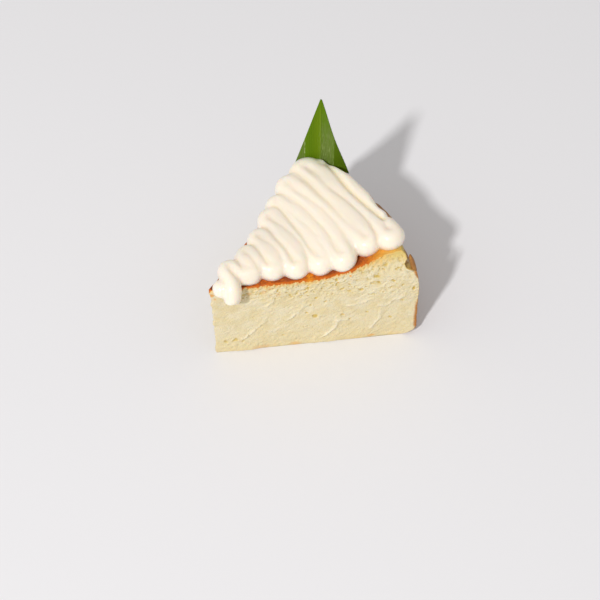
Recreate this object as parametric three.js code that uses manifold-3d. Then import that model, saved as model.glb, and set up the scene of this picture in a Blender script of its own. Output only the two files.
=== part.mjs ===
// A wedge of Basque cheesecake. The cake is tall, with a sunken browned top, a raised round rim and a bulging baked
// wall. A zigzag of piped cream covers the top from the tip to the rim, and a pointed piece of a pleated strap leaf
// stands in the cream at the back. Millimetres, +Z up: the tip points to -X, the rim to +X, the base lies on Z = 0.
// Shapes are worked out from the tip, on the middle line of the wedge, and the finished group is then centred.
import * as THREE from 'three';
import { mergeVertices } from 'three/addons/utils/BufferGeometryUtils.js';
import Module from 'manifold-3d';

const wasm = await Module();
wasm.setup();

const { clamp, degToRad, lerp, smoothstep } = THREE.MathUtils;

// Driving dimensions of the cake
const HALF_ANGLE = degToRad(27.6);
const WALL_RADIUS = 99.2;
const CENTRE_HEIGHT = 46;
const CREST_HEIGHT = 54.5;
const CREST_WAVE = 1.5;
const RISE_START = 45;
const FOOT_ROUND = 5.5;
const SHOULDER_ROUND = 10;
const SHOULDER_DROP = 16;
const PLEATS = 5;
const PLEAT_DEPTH = 1.4;
const PLEAT_SHARPNESS = 3;
const TIP_HALF_WIDTH = 0.4;
const TIP_LEAN = 1.7;
const TIP_LEAN_FADE = 8;

// The front corner of the rim is torn back from the straight cut, and hangs lower by a share of that
const TEAR_DEPTH = 6;
const TEAR_DROP = 0.45;
const TEAR_RADII = [62, 90];
const TEAR_HEIGHTS = [36, 54];

// The cream: the middle of each turn of the zigzag, seen from above, in the order of piping, with its relative size
const START = [7, -4];
const TURNS = [
  [12, 3.4, 0.8],
  [18.2, -5.1, 0.9],
  [23.8, 6, 0.9],
  [28.6, -8.7, 1],
  [34.6, 11.5, 1],
  [38.3, -14.5, 1],
  [45.8, 19.6, 1],
  [48.6, -19.4, 1],
  [53.2, 23.7, 1],
  [57.6, -25.8, 1],
  [63.4, 28.8, 1.1],
  [70.7, -25.4, 1.05],
  [76.6, 30.2, 1.3],
  [81.8, -29.4, 1.1],
];
const END = [86.5, 25.5];
const END_SINK = 2.5;
const BEAD_HALF_WIDTH = 3.9;
const BEAD_HALF_HEIGHT = 5.2;
const BEAD_LIFT = 3.2;
const BEAD_BLUNTNESS = 0.3;
const BEAD_OVERRUN = 2;
const TURN_HALF_WIDTH = 6;
const TURN_HALF_LENGTH = 5;
const STRAND_SHIFT = 2.9;

// The cream's start hangs over the cut face as a drop, with a smaller bulge beside it
const DROP_TOP = [7, -4.6, 48.6];
const DROP_END = [6.8, -6.6, 42.6];
const DROP_HALF_WIDTH = 4.4;
const BULGE = [3.2, -3.4, 47];
const BULGE_RADIUS = 3.8;

// The leaf: its foot follows the cake's top, and its pleats and folds are shares of its half width. The cream ends at
// its front, so a room behind it stays free.
const LEAF_FOOT = [84, 30.6];
const LEAF_DIRECTION = degToRad(131);
const LEAF_TIP_HEIGHT = 98.6;
const LEAF_FOOT_HEIGHT = 56.6;
const LEAF_FOOT_ARCH = 2.2;
const LEAF_HALF_APEX = degToRad(15.4);
const LEAF_TIP_HALF_WIDTH = 0.4;
const LEAF_THICKNESS = 0.6;
const LEAF_PLEAT = 0.1;
const LEAF_FOLD = 0.6;
const LEAF_ROOM = 12;

// Clearance between pieces that touch, and how finely the surfaces are divided
const GAP = 0.3;
const CAKE_STEPS = [26, 18, 12];
const BEAD_STEPS = [10, 8];
const TURN_STEPS = [12, 8];
const LEAF_STEPS = [10, 14];

// The same geometry with only positions, its shared corners merged
function weld(geometry) {
  geometry.deleteAttribute('normal');
  geometry.deleteAttribute('uv');
  return mergeVertices(geometry);
}

// The same geometry with each corner sent through a function that gives its new place
function reshape(geometry, place) {
  const position = geometry.getAttribute('position');
  for (let i = 0; i < position.count; i += 1) {
    const corner = place(position.getX(i), position.getY(i), position.getZ(i));
    position.setXYZ(i, corner.x, corner.y, corner.z);
  }
  return geometry;
}

// The same geometry with each corner pushed outwards along its normal
function swell(geometry, amount) {
  const swollen = geometry.clone();
  swollen.computeVertexNormals();
  const normal = swollen.getAttribute('normal');
  const position = swollen.getAttribute('position');
  for (let i = 0; i < position.count; i += 1) {
    position.setXYZ(
      i,
      position.getX(i) + amount * normal.getX(i),
      position.getY(i) + amount * normal.getY(i),
      position.getZ(i) + amount * normal.getZ(i),
    );
  }
  swollen.deleteAttribute('normal');
  return swollen;
}

function toSolid(geometry) {
  const vertProperties = new Float32Array(geometry.getAttribute('position').array);
  const triVerts = new Uint32Array(geometry.getIndex().array);
  return new wasm.Manifold(new wasm.Mesh({ numProp: 3, vertProperties, triVerts }));
}

function toGeometry(solid) {
  const mesh = solid.getMesh();
  const geometry = new THREE.BufferGeometry();
  geometry.setAttribute('position', new THREE.BufferAttribute(mesh.vertProperties, 3));
  geometry.setIndex(new THREE.BufferAttribute(mesh.triVerts, 1));
  return geometry;
}

// How far a quarter-round corner has drawn in, from 0 where it starts to 1 where it ends
function cornerDraw(share) {
  const along = clamp(share, 0, 1);
  return 1 - Math.sqrt(1 - along * along);
}

// Height of the rim's crest, a little uneven round the cake
function crestHeight(angle) {
  return CREST_HEIGHT + CREST_WAVE * Math.sin((Math.PI * angle) / HALF_ANGLE);
}

// Height of the browned top: level near the tip, then climbing to the crest of the rim
function topHeight(radius, angle) {
  const rise = smoothstep(radius, RISE_START, WALL_RADIUS - SHOULDER_ROUND);
  return lerp(CENTRE_HEIGHT, crestHeight(angle), rise);
}

// Distance of the baked wall from the tip: rounded in at the foot and below the crest, with upright creases
function wallRadius(height, angle) {
  const foot = FOOT_ROUND * cornerDraw((FOOT_ROUND - height) / FOOT_ROUND);
  const shoulderStart = crestHeight(angle) - SHOULDER_DROP;
  const shoulder = SHOULDER_ROUND * cornerDraw((height - shoulderStart) / SHOULDER_DROP);
  const crease = (0.5 + 0.5 * Math.cos((Math.PI * PLEATS * angle) / HALF_ANGLE)) ** PLEAT_SHARPNESS;
  return WALL_RADIUS - foot - shoulder - PLEAT_DEPTH * crease;
}

// How far the torn front corner of the rim lies behind the straight cut
function tear(radius, height) {
  return TEAR_DEPTH * smoothstep(radius, ...TEAR_RADII) * smoothstep(height, ...TEAR_HEIGHTS);
}

// Point of the cake for a share of the way to the rim, across the wedge and up, each from -1 to 1
function cakePoint(out, across, up) {
  const share = (out + 1) / 2;
  const rise = (1 - Math.cos((Math.PI * (up + 1)) / 2)) / 2;
  const angle = across * HALF_ANGLE;
  const radius = share * wallRadius(rise * crestHeight(angle), angle);
  const height = rise * topHeight(share * (WALL_RADIUS - SHOULDER_ROUND), angle);
  const lean = TIP_LEAN * (1 - share) ** TIP_LEAN_FADE * rise ** 2;
  const torn = Math.max(0, -across) * tear(radius, height);
  return new THREE.Vector3(
    radius * Math.cos(angle) - lean + torn * Math.sin(HALF_ANGLE),
    radius * Math.sin(angle) + TIP_HALF_WIDTH * across + torn * Math.cos(HALF_ANGLE),
    height - TEAR_DROP * torn,
  );
}

function cakeGeometry() {
  return reshape(weld(new THREE.BoxGeometry(2, 2, 2, ...CAKE_STEPS)), cakePoint);
}

// The bead's middle above a place on the cake's top, seen from above
function onTop(x, y, sink = 0) {
  return new THREE.Vector3(x, y, topHeight(Math.hypot(x, y), Math.atan2(y, x)) + BEAD_LIFT - sink);
}

// A blunt-ended bead of cream from one point to another
function bead(from, to, halfWidth, halfHeight) {
  const along = to.clone().sub(from);
  const halfLength = along.length() / 2 + BEAD_OVERRUN;
  along.normalize();
  const across = along.clone().cross(new THREE.Vector3(0, 0, 1)).normalize();
  const up = across.clone().cross(along);
  const middle = from.clone().lerp(to, 0.5);
  return reshape(weld(new THREE.SphereGeometry(1, ...BEAD_STEPS)), (x, y, z) => {
    const ring = Math.hypot(x, z);
    const fullness = ring > 0 ? ring ** (BEAD_BLUNTNESS - 1) : 0;
    return middle
      .clone()
      .addScaledVector(across, x * fullness * halfWidth)
      .addScaledVector(along, y * halfLength)
      .addScaledVector(up, z * fullness * halfHeight);
  });
}

// An egg-shaped lump of cream, used where the zigzag turns and where it starts
function lump(middle, halfSizes) {
  return reshape(weld(new THREE.SphereGeometry(1, ...TURN_STEPS)), (x, y, z) =>
    new THREE.Vector3(x, y, z).multiply(halfSizes).add(middle),
  );
}

// All the pieces of cream: a lump at each turn, a strand from each turn to the next, and the drop at the start
function creamPieces() {
  const turnSize = new THREE.Vector3(TURN_HALF_WIDTH, TURN_HALF_LENGTH, BEAD_HALF_HEIGHT);
  const lumps = TURNS.map(([x, y, size]) => lump(onTop(x, y), turnSize.clone().multiplyScalar(size)));
  const leaving = [onTop(...START), ...TURNS.map(([x, y, size]) => onTop(x + STRAND_SHIFT * size, y))];
  const arriving = [...TURNS.map(([x, y, size]) => onTop(x - STRAND_SHIFT * size, y)), onTop(...END, END_SINK)];
  const strands = leaving.map((from, k) => bead(from, arriving[k], BEAD_HALF_WIDTH, BEAD_HALF_HEIGHT));
  const drop = bead(new THREE.Vector3(...DROP_TOP), new THREE.Vector3(...DROP_END), DROP_HALF_WIDTH, DROP_HALF_WIDTH);
  const bulge = lump(new THREE.Vector3(...BULGE), new THREE.Vector3().setScalar(BULGE_RADIUS));
  return [...lumps, ...strands, drop, bulge];
}

// The cream in one piece, fitted over the cake and ending at the leaf
function creamGeometry(cake) {
  const whole = creamPieces().map(toSolid).reduce((joined, piece) => joined.add(piece));
  const leafRoom = sheetGeometry(LEAF_STEPS, leafPoint(LEAF_ROOM));
  return toGeometry(whole.subtract(toSolid(swell(cake, GAP))).subtract(toSolid(swell(leafRoom, GAP))));
}

// Gives the function for a pleated sheet of a thickness, laid behind the leaf's front face. Its point is for a share
// across the leaf and up it, each from -1 to 1, on the back, 1, or the front, -1.
function leafPoint(thickness) {
  return (across, up, face) => {
    const foot = LEAF_FOOT_HEIGHT - LEAF_FOOT_ARCH * across ** 2;
    const height = lerp(foot, LEAF_TIP_HEIGHT, (up + 1) / 2);
    const halfWidth = LEAF_TIP_HALF_WIDTH + (LEAF_TIP_HEIGHT - height) * Math.tan(LEAF_HALF_APEX);
    const pleat = LEAF_PLEAT * halfWidth * Math.cos((Math.PI * across) / LEAF_FOLD);
    const sideways = across * halfWidth;
    const back = pleat + (thickness * (1 + face)) / 2;
    return new THREE.Vector3(
      LEAF_FOOT[0] + sideways * Math.cos(LEAF_DIRECTION) + back * Math.sin(LEAF_DIRECTION),
      LEAF_FOOT[1] + sideways * Math.sin(LEAF_DIRECTION) - back * Math.cos(LEAF_DIRECTION),
      height,
    );
  };
}

// A thin closed sheet with both faces split into triangles alike
function sheetGeometry([columns, rows], place) {
  const corners = [];
  for (const face of [1, -1]) {
    for (let row = 0; row <= rows; row += 1) {
      for (let column = 0; column <= columns; column += 1) {
        corners.push(place((2 * column) / columns - 1, (2 * row) / rows - 1, face));
      }
    }
  }
  const faceSize = (columns + 1) * (rows + 1);
  const at = (column, row) => row * (columns + 1) + column;
  const triangles = [];
  const addFace = (a, b, c) => triangles.push(a, b, c, faceSize + a, faceSize + c, faceSize + b);
  const addEdge = (a, b) => triangles.push(a, faceSize + a, b, b, faceSize + a, faceSize + b);
  for (let row = 0; row < rows; row += 1) {
    for (let column = 0; column < columns; column += 1) {
      addFace(at(column, row), at(column + 1, row), at(column + 1, row + 1));
      addFace(at(column, row), at(column + 1, row + 1), at(column, row + 1));
    }
  }
  for (let column = 0; column < columns; column += 1) {
    addEdge(at(column, 0), at(column + 1, 0));
    addEdge(at(column + 1, rows), at(column, rows));
  }
  for (let row = 0; row < rows; row += 1) {
    addEdge(at(columns, row), at(columns, row + 1));
    addEdge(at(0, row + 1), at(0, row));
  }
  const geometry = new THREE.BufferGeometry().setFromPoints(corners);
  geometry.setIndex(triangles);
  return geometry;
}

function namedMesh(name, geometry, color, roughness) {
  const material = new THREE.MeshStandardMaterial({ color, roughness, metalness: 0 });
  const mesh = new THREE.Mesh(geometry, material);
  mesh.name = name;
  return mesh;
}

const cake = cakeGeometry();
const leaf = sheetGeometry(LEAF_STEPS, leafPoint(LEAF_THICKNESS));
const group = new THREE.Group();
group.add(
  namedMesh('cake', cake, 0xe6d9a8, 0.7),
  namedMesh('cream', creamGeometry(cake), 0xfff5e0, 0.4),
  namedMesh('leaf', leaf, 0x4f8a1c, 0.5),
);

// The origin is under the middle of the whole object's box
const middle = new THREE.Box3().setFromObject(group, true).getCenter(new THREE.Vector3());
group.position.set(-middle.x, -middle.y, 0);
group.updateMatrixWorld(true);

export default group;
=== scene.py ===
"""A slice of baked cheesecake with piped cream and a leaf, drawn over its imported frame.

Shapes are worked out in millimetres in the wedge's own frame, with the tip at the origin, X along the
middle of the wedge, Y towards the back cut and Z up. They are set down in metres in the row frame.
"""

import math
from types import SimpleNamespace

import bpy
import numpy as np
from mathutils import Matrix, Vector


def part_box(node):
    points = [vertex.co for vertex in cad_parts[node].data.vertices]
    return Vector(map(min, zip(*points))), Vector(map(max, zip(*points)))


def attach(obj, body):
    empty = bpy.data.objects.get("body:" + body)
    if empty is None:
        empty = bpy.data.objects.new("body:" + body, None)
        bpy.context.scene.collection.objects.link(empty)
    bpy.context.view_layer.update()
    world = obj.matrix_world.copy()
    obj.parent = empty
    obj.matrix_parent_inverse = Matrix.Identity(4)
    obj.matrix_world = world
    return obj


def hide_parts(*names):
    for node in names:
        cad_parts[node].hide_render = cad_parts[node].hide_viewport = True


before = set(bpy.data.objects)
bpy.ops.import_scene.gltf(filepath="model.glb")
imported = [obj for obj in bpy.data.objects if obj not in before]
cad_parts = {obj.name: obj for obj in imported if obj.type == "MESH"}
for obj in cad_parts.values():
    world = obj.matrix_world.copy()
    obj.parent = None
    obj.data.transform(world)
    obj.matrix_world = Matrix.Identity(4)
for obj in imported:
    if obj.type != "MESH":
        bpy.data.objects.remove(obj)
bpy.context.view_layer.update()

MM = 0.001

# The wedge, as the frame has it, and the place of its tip in the row frame
HALF_ANGLE = math.radians(27.6)
WALL_RADIUS = 99.2
CENTRE_HEIGHT = 46
CREST_HEIGHT = 54.5
CREST_WAVE = 1.5
RISE_START = 45
FOOT_ROUND = 5.5
SHOULDER_ROUND = 10
SHOULDER_DROP = 16
PLEATS = 5
PLEAT_DEPTH = 1.4
PLEAT_SHARPNESS = 3
TIP_HALF_WIDTH = 0.4
TIP_LEAN = 1.7
TIP_LEAN_FADE = 8
TIP_PLACE = np.array([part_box("cake")[0].x / MM + TIP_LEAN, 0, 0])

# How far the front corner of the rim is torn back from the straight cut, and where. The frame's tear is
# deeper
TEAR_DEPTH = 4.8
TEAR_RADII = (58, 90)
TEAR_HEIGHTS = (42, 56)

# The wedge's net: steps along the front cut, the rim and the back cut, up the side, and in over the top
FRONT_STEPS = 390
RIM_STEPS = 96
BACK_STEPS = 96
SIDE_STEPS = 150
SIDE_SPREAD = 0.3
TOP_RINGS = (0.006, 0.014, 0.024, 0.036, 0.052, 0.075, 0.11, 0.16, 0.24, 0.36, 0.54, 0.76)
TOP_MIDDLE_SHARE = 0.62
TOP_MIDDLE_RISE = 1

# How far relief and marks carry around an edge, and where relief fades at the floor, the foot and the tip
EDGE_REACH = 1.6
MARK_REACH = 0.5
FLOOR_FADE = 0.6
WALL_FOOT_FADE = 3
TIP_FADE = 6
TIP_JAG_REACH = 2.5

# Random waves: height, size and seed of each layer. The seeds of a cut's waves count on from the cut's own
WAVE_NET = 64
FRONT_SEED = 1
BACK_SEED = 51
BROAD_WAVES = ((0.45, 17, 0), (0.15, 6, 1))
DRAG_WAVES = ((0.08, 1.4, 2),)
FINE_SPONGE = ((1, 0.8, 3),)
COARSE_SPONGE = ((0.5, 1.6, 4),)
FOOT_WAVES = ((1, 14, 5),)
ALONG_WARP = ((0.8, 3.5, 6), (0.4, 1.4, 8))
UP_WARP = ((0.8, 3.5, 7), (0.4, 1.4, 9))
SMEAR_JAGS = ((0.35, 0.9, 10),)
WALL_BUCKLES = ((0.7, 6, 91),)
WALL_GRAIN = ((0.2, 2.2, 92),)
TOP_BLISTERS = ((0.35, 6, 93), (0.25, 2, 94))
TIP_JAGS = ((0.7, 3.2, 95), (0.3, 1.1, 96))

# How waves are drawn out: knife drag on the cuts, pores along a slope, buckles up the wall
DRAG_SLANT = (2, 0.2)
STREAK_SLOPE = math.radians(22)
FINE_STRETCH = 1.9
COARSE_STRETCH = 1.3
BUCKLE_SQUASH = 0.3

# Crumb of the cuts: porous above a line (along the cut, height), calmer at the torn corner, and bulging at
# the foot
POROUS_FROM = ((14, 36), (100, 30))
POROUS_BLEND = (-7, 3)
CRUMB_RELIEF = 0.13
POROUS_RELIEF = 0.15
FOOT_RELIEF = 0.08
FOOT_REACH = 7
FOOT_BULGE = 0.9
FOOT_LEVEL = 0.4
CALM_SHARE = 0.6
CALM_ALONG = (76, 88)
CALM_HEIGHTS = (47, 52)
# Painted shade in sunken pores, and painted highlight on raised pores and on the lips of the smears
PORE_SHADE = 0.22
PORE_HIGHLIGHT = 0.14
LIP_HIGHLIGHT_SHARE = 0.5

# Smears the knife left on the front cut: start, end (along the cut, height) and how far the lip stands out
LEDGES = (
    ((12.5, 9), (25, 22.5), 0.42),
    ((25, 12.5), (37, 16.8), 0.32),
    ((34.5, 19.5), (43, 28.5), 0.36),
    ((25, 30), (29, 35.5), 0.3),
    ((52.5, 5.5), (61, 15.5), 0.5),
    ((60, 15), (67, 16.5), 0.3),
    ((76, 7), (81.5, 21), 0.4),
    ((80, 23), (86, 26), 0.32),
    ((86, 26.5), (94, 31.5), 0.32),
    ((64, 25), (77, 29.5), 0.32),
)
LEDGE_HEIGHT = 1.75
LEDGE_SWELL = (1.3, 0.6)
LEDGE_BOW = 0.08
LEDGE_CLIFF = (-2.0, 0.2)
LEDGE_FADE = 5.0
LEDGE_CURL = 0.65
LEDGE_CURL_SHARE = 0.7
LEDGE_END = 0.2

# Bubbles of the front cut: along the cut, height, half length, half height, depth
PITS = (
    (49, 20, 1.5, 1.3, 0.55),
    (83, 48.3, 1.3, 0.9, 0.4),
    (77.5, 43.5, 1.2, 1.1, 0.6),
    (78.5, 40, 1.1, 0.9, 0.5),
    (61.5, 37.5, 1.3, 0.9, 0.55),
    (70.5, 36, 1.2, 0.9, 0.5),
    (96.5, 33.5, 0.8, 1.0, 0.7),
    (53.5, 29.5, 1.1, 0.7, 0.45),
    (44.5, 23, 0.9, 0.7, 0.45),
    (66, 15.5, 1.0, 0.7, 0.5),
    (74.5, 18.5, 0.9, 0.8, 0.45),
    (85.5, 13, 1.0, 0.8, 0.5),
    (86, 40.5, 1.1, 0.8, 0.5),
    (49, 32.5, 1.0, 0.7, 0.45),
    (46, 27.5, 0.8, 0.7, 0.4),
    (62.5, 19, 0.9, 0.7, 0.45),
    (4.5, 8, 1.4, 0.9, 0.4),
    (9.5, 8.3, 1.2, 1.0, 0.45),
    (13, 6.5, 0.8, 0.7, 0.4),
    (17, 11, 1.0, 0.8, 0.45),
    (33.5, 8, 1.2, 0.7, 0.35),
    (45, 44, 1.2, 1.0, 0.5),
    (59, 44, 1.0, 0.9, 0.5),
    (91, 25, 1.3, 1.0, 0.35),
)
PIT_DEPTH = 1.2
PIT_RIM = (1.3, 0.2)

# Small bubbles of a cut: how many, where they lie, how they crowd under the crust, and the strays below
FINE_PITS = 430
FINE_PIT_ALONG = (6, 96)
FINE_PIT_ROOF = 1.5
FINE_PIT_CROWDING = 1.6
FINE_PIT_HALF_HEIGHTS = (0.22, 0.5)
FINE_PIT_STRETCH = (1, 1.8)
FINE_PIT_DEPTH = 0.9
STRAY_PITS = 70
STRAY_HEIGHTS = (4, 36)
STRAY_SIZE = 0.7
FRONT_PIT_SEED = 21
BACK_PIT_SEED = 22

# Browned crumbs dragged down the front cut and gold spots at its foot: along, height, half length, half
# height, share
SPECKS = (
    (27, 42.3, 1.1, 0.55, 0.9),
    (39.5, 43.5, 0.7, 0.5, 0.8),
    (38, 42.5, 0.5, 0.4, 0.5),
    (59.5, 42.3, 0.5, 0.8, 0.8),
    (65.3, 46, 0.7, 0.6, 1.0),
    (17.5, 40.5, 1.2, 1.0, 0.45),
    (24, 40.5, 1.6, 1.0, 0.35),
    (31, 38, 1.4, 1.2, 0.25),
    (22, 1.2, 5.5, 1.8, 0.3),
    (39, 1.0, 3.2, 1.5, 0.4),
    (77, 1.0, 2.2, 0.6, 0.8),
    (0.2, 42.6, 1.5, 1.3, 0.9),
    (3, 42, 1.0, 0.9, 0.6),
    (1.4, 39.6, 0.7, 0.8, 0.6),
)

# The torn corner: the wall is broken away above a ledge, back to an edge (height, radius), but for a flake
CORNER_SHARPER = 4
CORNER_LEAN = 1.6
CORNER_LEAN_HEIGHTS = (33, 47)
BITE_EDGE = ((44, 93.2), (46.5, 92.4), (48.5, 91.4), (50.5, 92.8), (52.5, 92.2), (54, 90.8), (56, 89.2))
BITE_TOP = 46.5
BITE_LOW = (44, 37)
BITE_ANGLES = np.radians((-25.5, -19))
BITE_FADE = np.radians((-16, -6))
BITE_SKIN = 0.3
BITE_REACH = 5
TORN_RADII = (72, 90)
TORN_HEIGHTS = (47, 54.5)
TORN_REACH = 8
FLAKE_ANGLE = math.radians(-26.3)
FLAKE_PATH = ((96.9, 41.5), (96.3, 45), (95.4, 49), (94.5, 52), (93.9, 54.2))
FLAKE_HALF_WIDTH = 1.7
FLAKE_HALF_THICKNESS = (1.3, 1.3, 1.2, 0.9, 0.5)
FLAKE_UNDER_TOP = 9

# How thick the browned skin of the wall shows at the cuts, by height, and where it is chipped or pale
SKIN_HEIGHTS = (0, 4, 6, 23, 26, 39, 42, 44.5, 46)
SKIN_THICKNESS = (0.1, 0.1, 1.5, 1.3, 0.05, 0.05, 1.2, 1.5, 0.05)
SKIN_BLEND = (0.5, 1.4)
SKIN_SHOWS = (0.1, 0.7)
WALL_STARTS = 0.995
CORNER_PALE = 4
FOOT_CHIP = 3.5
FOOT_CHIP_HEIGHT = 5.5
FOOT_CHIP_REACH = 0.25

# Browning of the top: distance from the tip, and how dark it is there, 0 to 1
BAKE_PLACES = (0, 8, 15, 20, 26, 33, 37, 41, 46, 51, 55, 60, 66, 70, 75, 80, 84, 90)
BAKE_DARKNESS = (1, 1, 0.95, 0.6, 0.45, 0.75, 0.9, 0.7, 0.2, 0.55, 0.9, 0.85, 0.95, 0.7, 0.35, 0.15, 0.1, 0)

# Piped cream: where the main bead starts, turns (x, y, size) and ends
START = (8, -4.2)
TURNS = (
    (11.2, 2.8, 0.9), (18.8, -4.8, 0.9), (23.8, 6, 0.9), (29.4, -8.5, 1), (34.6, 11.5, 1),
    (39, -14.1, 1), (45.8, 19.6, 1), (49.6, -19.1, 1), (53.2, 23.7, 1), (58.5, -24.9, 1),
    (63.4, 28.8, 1.1), (71.8, -25.2, 1.05), (74.8, 30.3, 1.36), (82.3, -29.4, 1.12),
)
END = (85, -17.5)
BACK_TURNS = TURNS[0::2]
FRONT_TURNS = TURNS[1::2]

# The point that each strand passes through on its way, and its half width there
STRANDS = (
    (8.2, -1.2, 3.7), (13.9, -1.2, 4.9), (19.3, 0.5, 5), (25.3, 0, 4.8), (31.3, 1, 5.4),
    (36.9, -1, 5.4), (43, 1, 5.8), (48.7, 1, 5.6), (52.6, 2, 5.4), (57.4, 2, 5.6),
    (63.4, 3, 6), (69, 3, 6), (74.2, 3, 6), (79.8, 2, 5),
)

# The strand of its own at the rim: points from the front to the back, with its half width at each
LAST_STRAND = (
    (86.3, -20.5, 4.2), (85.8, -17, 3.7), (85.1, -12.5, 3.1), (85.4, -9, 3.4),
    (86, -3, 4.1), (85.4, 11, 3.7), (84, 19, 2.9), (82.8, 25.5, 2.1),
)

# The bead: how it bends at a turn, its size and the steps of its path
STRAND_SHIFT = 2.3
STRAND_SWELL = 0.4
STRAND_STEPS = 24
TURN_REACH = 1.2
TURN_HALF_WIDTH = 4.3
TURN_STEPS = 16
BEAD_LIFT = 3.0
BEAD_HALF_HEIGHT = 5.5
BEAD_RISE = 0.15
BEAD_SIDES = 28
BEAD_END = 0.0004
PATH_STEP = 0.5
PATH_SMOOTHING = 1.0
PATH_BELL = 4

# The drop that hangs over the tip, and the bulge at its start
DROP_PATH = ((5.8, -8.1, 40.1), (5.9, -8.3, 43.2), (6.5, -7.5, 46.8), (7.5, -5.6, 48.8))
DROP_HALF_WIDTHS = (3.1, 4.1, 4.6, 4.4)
BULGE_PATH = ((-1.6, -2.3, 47.1), (7.2, -4.2, 47.4))
BULGE_HALF_WIDTH = 4.4

# The body under the strands, and how the cream is heaped up
BODY_ENDS = (13.2, 84)
BODY_NOSE = 8
BODY_NOSE_START = 0.01
BODY_STEPS = (150, 80)
BODY_HALF_HEIGHT = 5.8
BODY_FRONT_REACH = 4.7
BODY_BACK_REACH = 1.3
BODY_SQUARENESS = 0.56
LOBE_ROUNDNESS = 1.1
CREAM_CROWN = 0.12
CROWN_LEAN = 0.5
CROWN_FADE = (66, 84)
CROWN_LOSS = 0.85

# How the cream is melted into one skin and softened, before and after the grooves
CREAM_VOXEL = 0.5
CREAM_SOFTENING = 22
CREAM_LAST_SOFTENING = 4
SOFTENING_SHARE = 0.5

# Grooves between the strands, from above: depth, reach to each side, how far before its inner end each
# starts to fade, and its line from the open end inwards
GROOVES = (
    (0.5, 2.2, 3, ((10.2, -9.5), (9.7, -6), (9.8, -3), (10.1, 0), (9.8, 2.5))),
    (0.7, 2.6, 5, ((16.7, 6), (16.5, 3), (15.8, 0), (15, -4), (14.3, -7.5))),
    (0.6, 2.6, 4, ((19.6, -11), (21.6, -6), (22.4, -1), (22.2, 3), (21, 7))),
    (1.05, 2.8, 5, ((26.7, 10), (28, 7), (27.9, 3), (27.3, -2), (26.4, -7), (25.8, -11.5))),
    (0.5, 3.0, 4, ((33.5, -9), (34.8, -4), (34.7, 1), (33.2, 6), (31.8, 13))),
    (1.05, 2.8, 5, ((37.7, 16), (39.4, 13), (39.5, 8), (38.8, 3), (38.9, -4), (38, -10), (35.5, -17))),
    (0.6, 2.8, 4, ((40.5, -20.5), (44.5, -15), (46.7, -8), (46.7, 0), (45.7, 8), (44.5, 13), (43, 20))),
    (1.05, 2.8, 9, ((49.2, 22), (51, 19), (51, 12), (50.2, 2), (49.8, -4), (48.5, -10), (46.5, -20))),
    (0.3, 2.6, 9, ((55.2, -9), (54.7, 1), (53.7, 9), (52.5, 19))),
    (0.75, 3.0, 7, ((54.7, 28.5), (57.2, 24), (59.5, 13), (60.2, 5), (60.1, -8), (58.8, -15), (54.5, -26))),
    (0.5, 3.0, 7, ((61.2, -28), (64, -22), (66, -10), (66.3, 1), (64, 14), (61.5, 25))),
    (1.1, 3.0, 40, ((67.7, 33), (69.2, 28), (69.7, 21), (69.7, 10), (70.2, 2), (69.7, -10), (69, -27))),
    (0.45, 4.0, 6, ((75, 12), (75.4, 19), (75, 30))),
    (0.9, 2.4, 12, ((73, -31), (76, -26), (77.8, -19), (78, -11), (77.3, -2), (76, 5), (74, 18))),
    (2.0, 3.0, 5, ((84.4, -21), (83.5, -14), (82.7, -6), (82, 2), (82.2, 10), (83.2, 19), (83.9, 28))),
    (0.5, 2.0, 3, ((84, -21.5), (82.4, -24.5), (81.8, -29.5))),
)
GROOVE_FLARE = 0.9
GROOVE_FACING = (0.0, 0.6)
# Groove depth at which the painted shade in the grooves is full
GROOVE_SHADE_FULL = 1.5

# The leaf: its place, its outline, with the half angle of its tip on each side, its folds and its fine ribs
LEAF_FOOT = (84, 30.6)
LEAF_DIRECTION = math.radians(131)
LEAF_TIP_HEIGHT = 98.6
LEAF_FOOT_HEIGHT = 56.6
LEAF_FOOT_ARCH = 2.2
LEAF_HALF_APEX = (math.radians(18.0), math.radians(16.1))
LEAF_TIP_HALF_WIDTH = 0.4
LEAF_THICKNESS = 0.6
LEAF_PLEAT = 0.9
LEAF_FOLD = 7.4
LEAF_GAP = 0.1
LEAF_STEPS = (120, 200)
LEAF_VEIN_SPACING = 0.8
LEAF_VEIN_RELIEF = 0.05
LEAF_VEIN_WIDTHS = (0.5, 4)

# Surfaces: the same all over a piece
CAKE_SURFACE = {
    "Roughness": 0.5,
    "Specular IOR Level": 0.18,
    "Subsurface Weight": 0.2,
    "Subsurface Radius": (1.0, 0.7, 0.35),
    "Subsurface Scale": 0.0012,
}
CREAM_SURFACE = {
    "Roughness": 0.28,
    "Specular IOR Level": 0.25,
    "Coat Weight": 0.25,
    "Coat Roughness": 0.12,
    "Subsurface Weight": 0.8,
    "Subsurface Radius": (1.0, 0.8, 0.55),
    "Subsurface Scale": 0.0055,
}
LEAF_SURFACE = {"Roughness": 0.45, "Specular IOR Level": 0.04}
FLOOR_SURFACE = {"Roughness": 0.9, "Base Color": (0.82, 0.81, 0.825, 1)}

# Colours, in linear light
CRUMB_PALE = (0.765, 0.675, 0.46)
CRUMB_DEEP = (0.735, 0.62, 0.365)
# Painted highlight on the lips of the knife smears
LIP_HIGHLIGHT = (0.80, 0.73, 0.55)
# Painted shade in the hollows of the cuts: darker, olive-yellow crumb
PIT_SHADE_COLOUR = (0.64, 0.47, 0.14)
TORN_YELLOW = (0.67, 0.53, 0.18)
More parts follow.
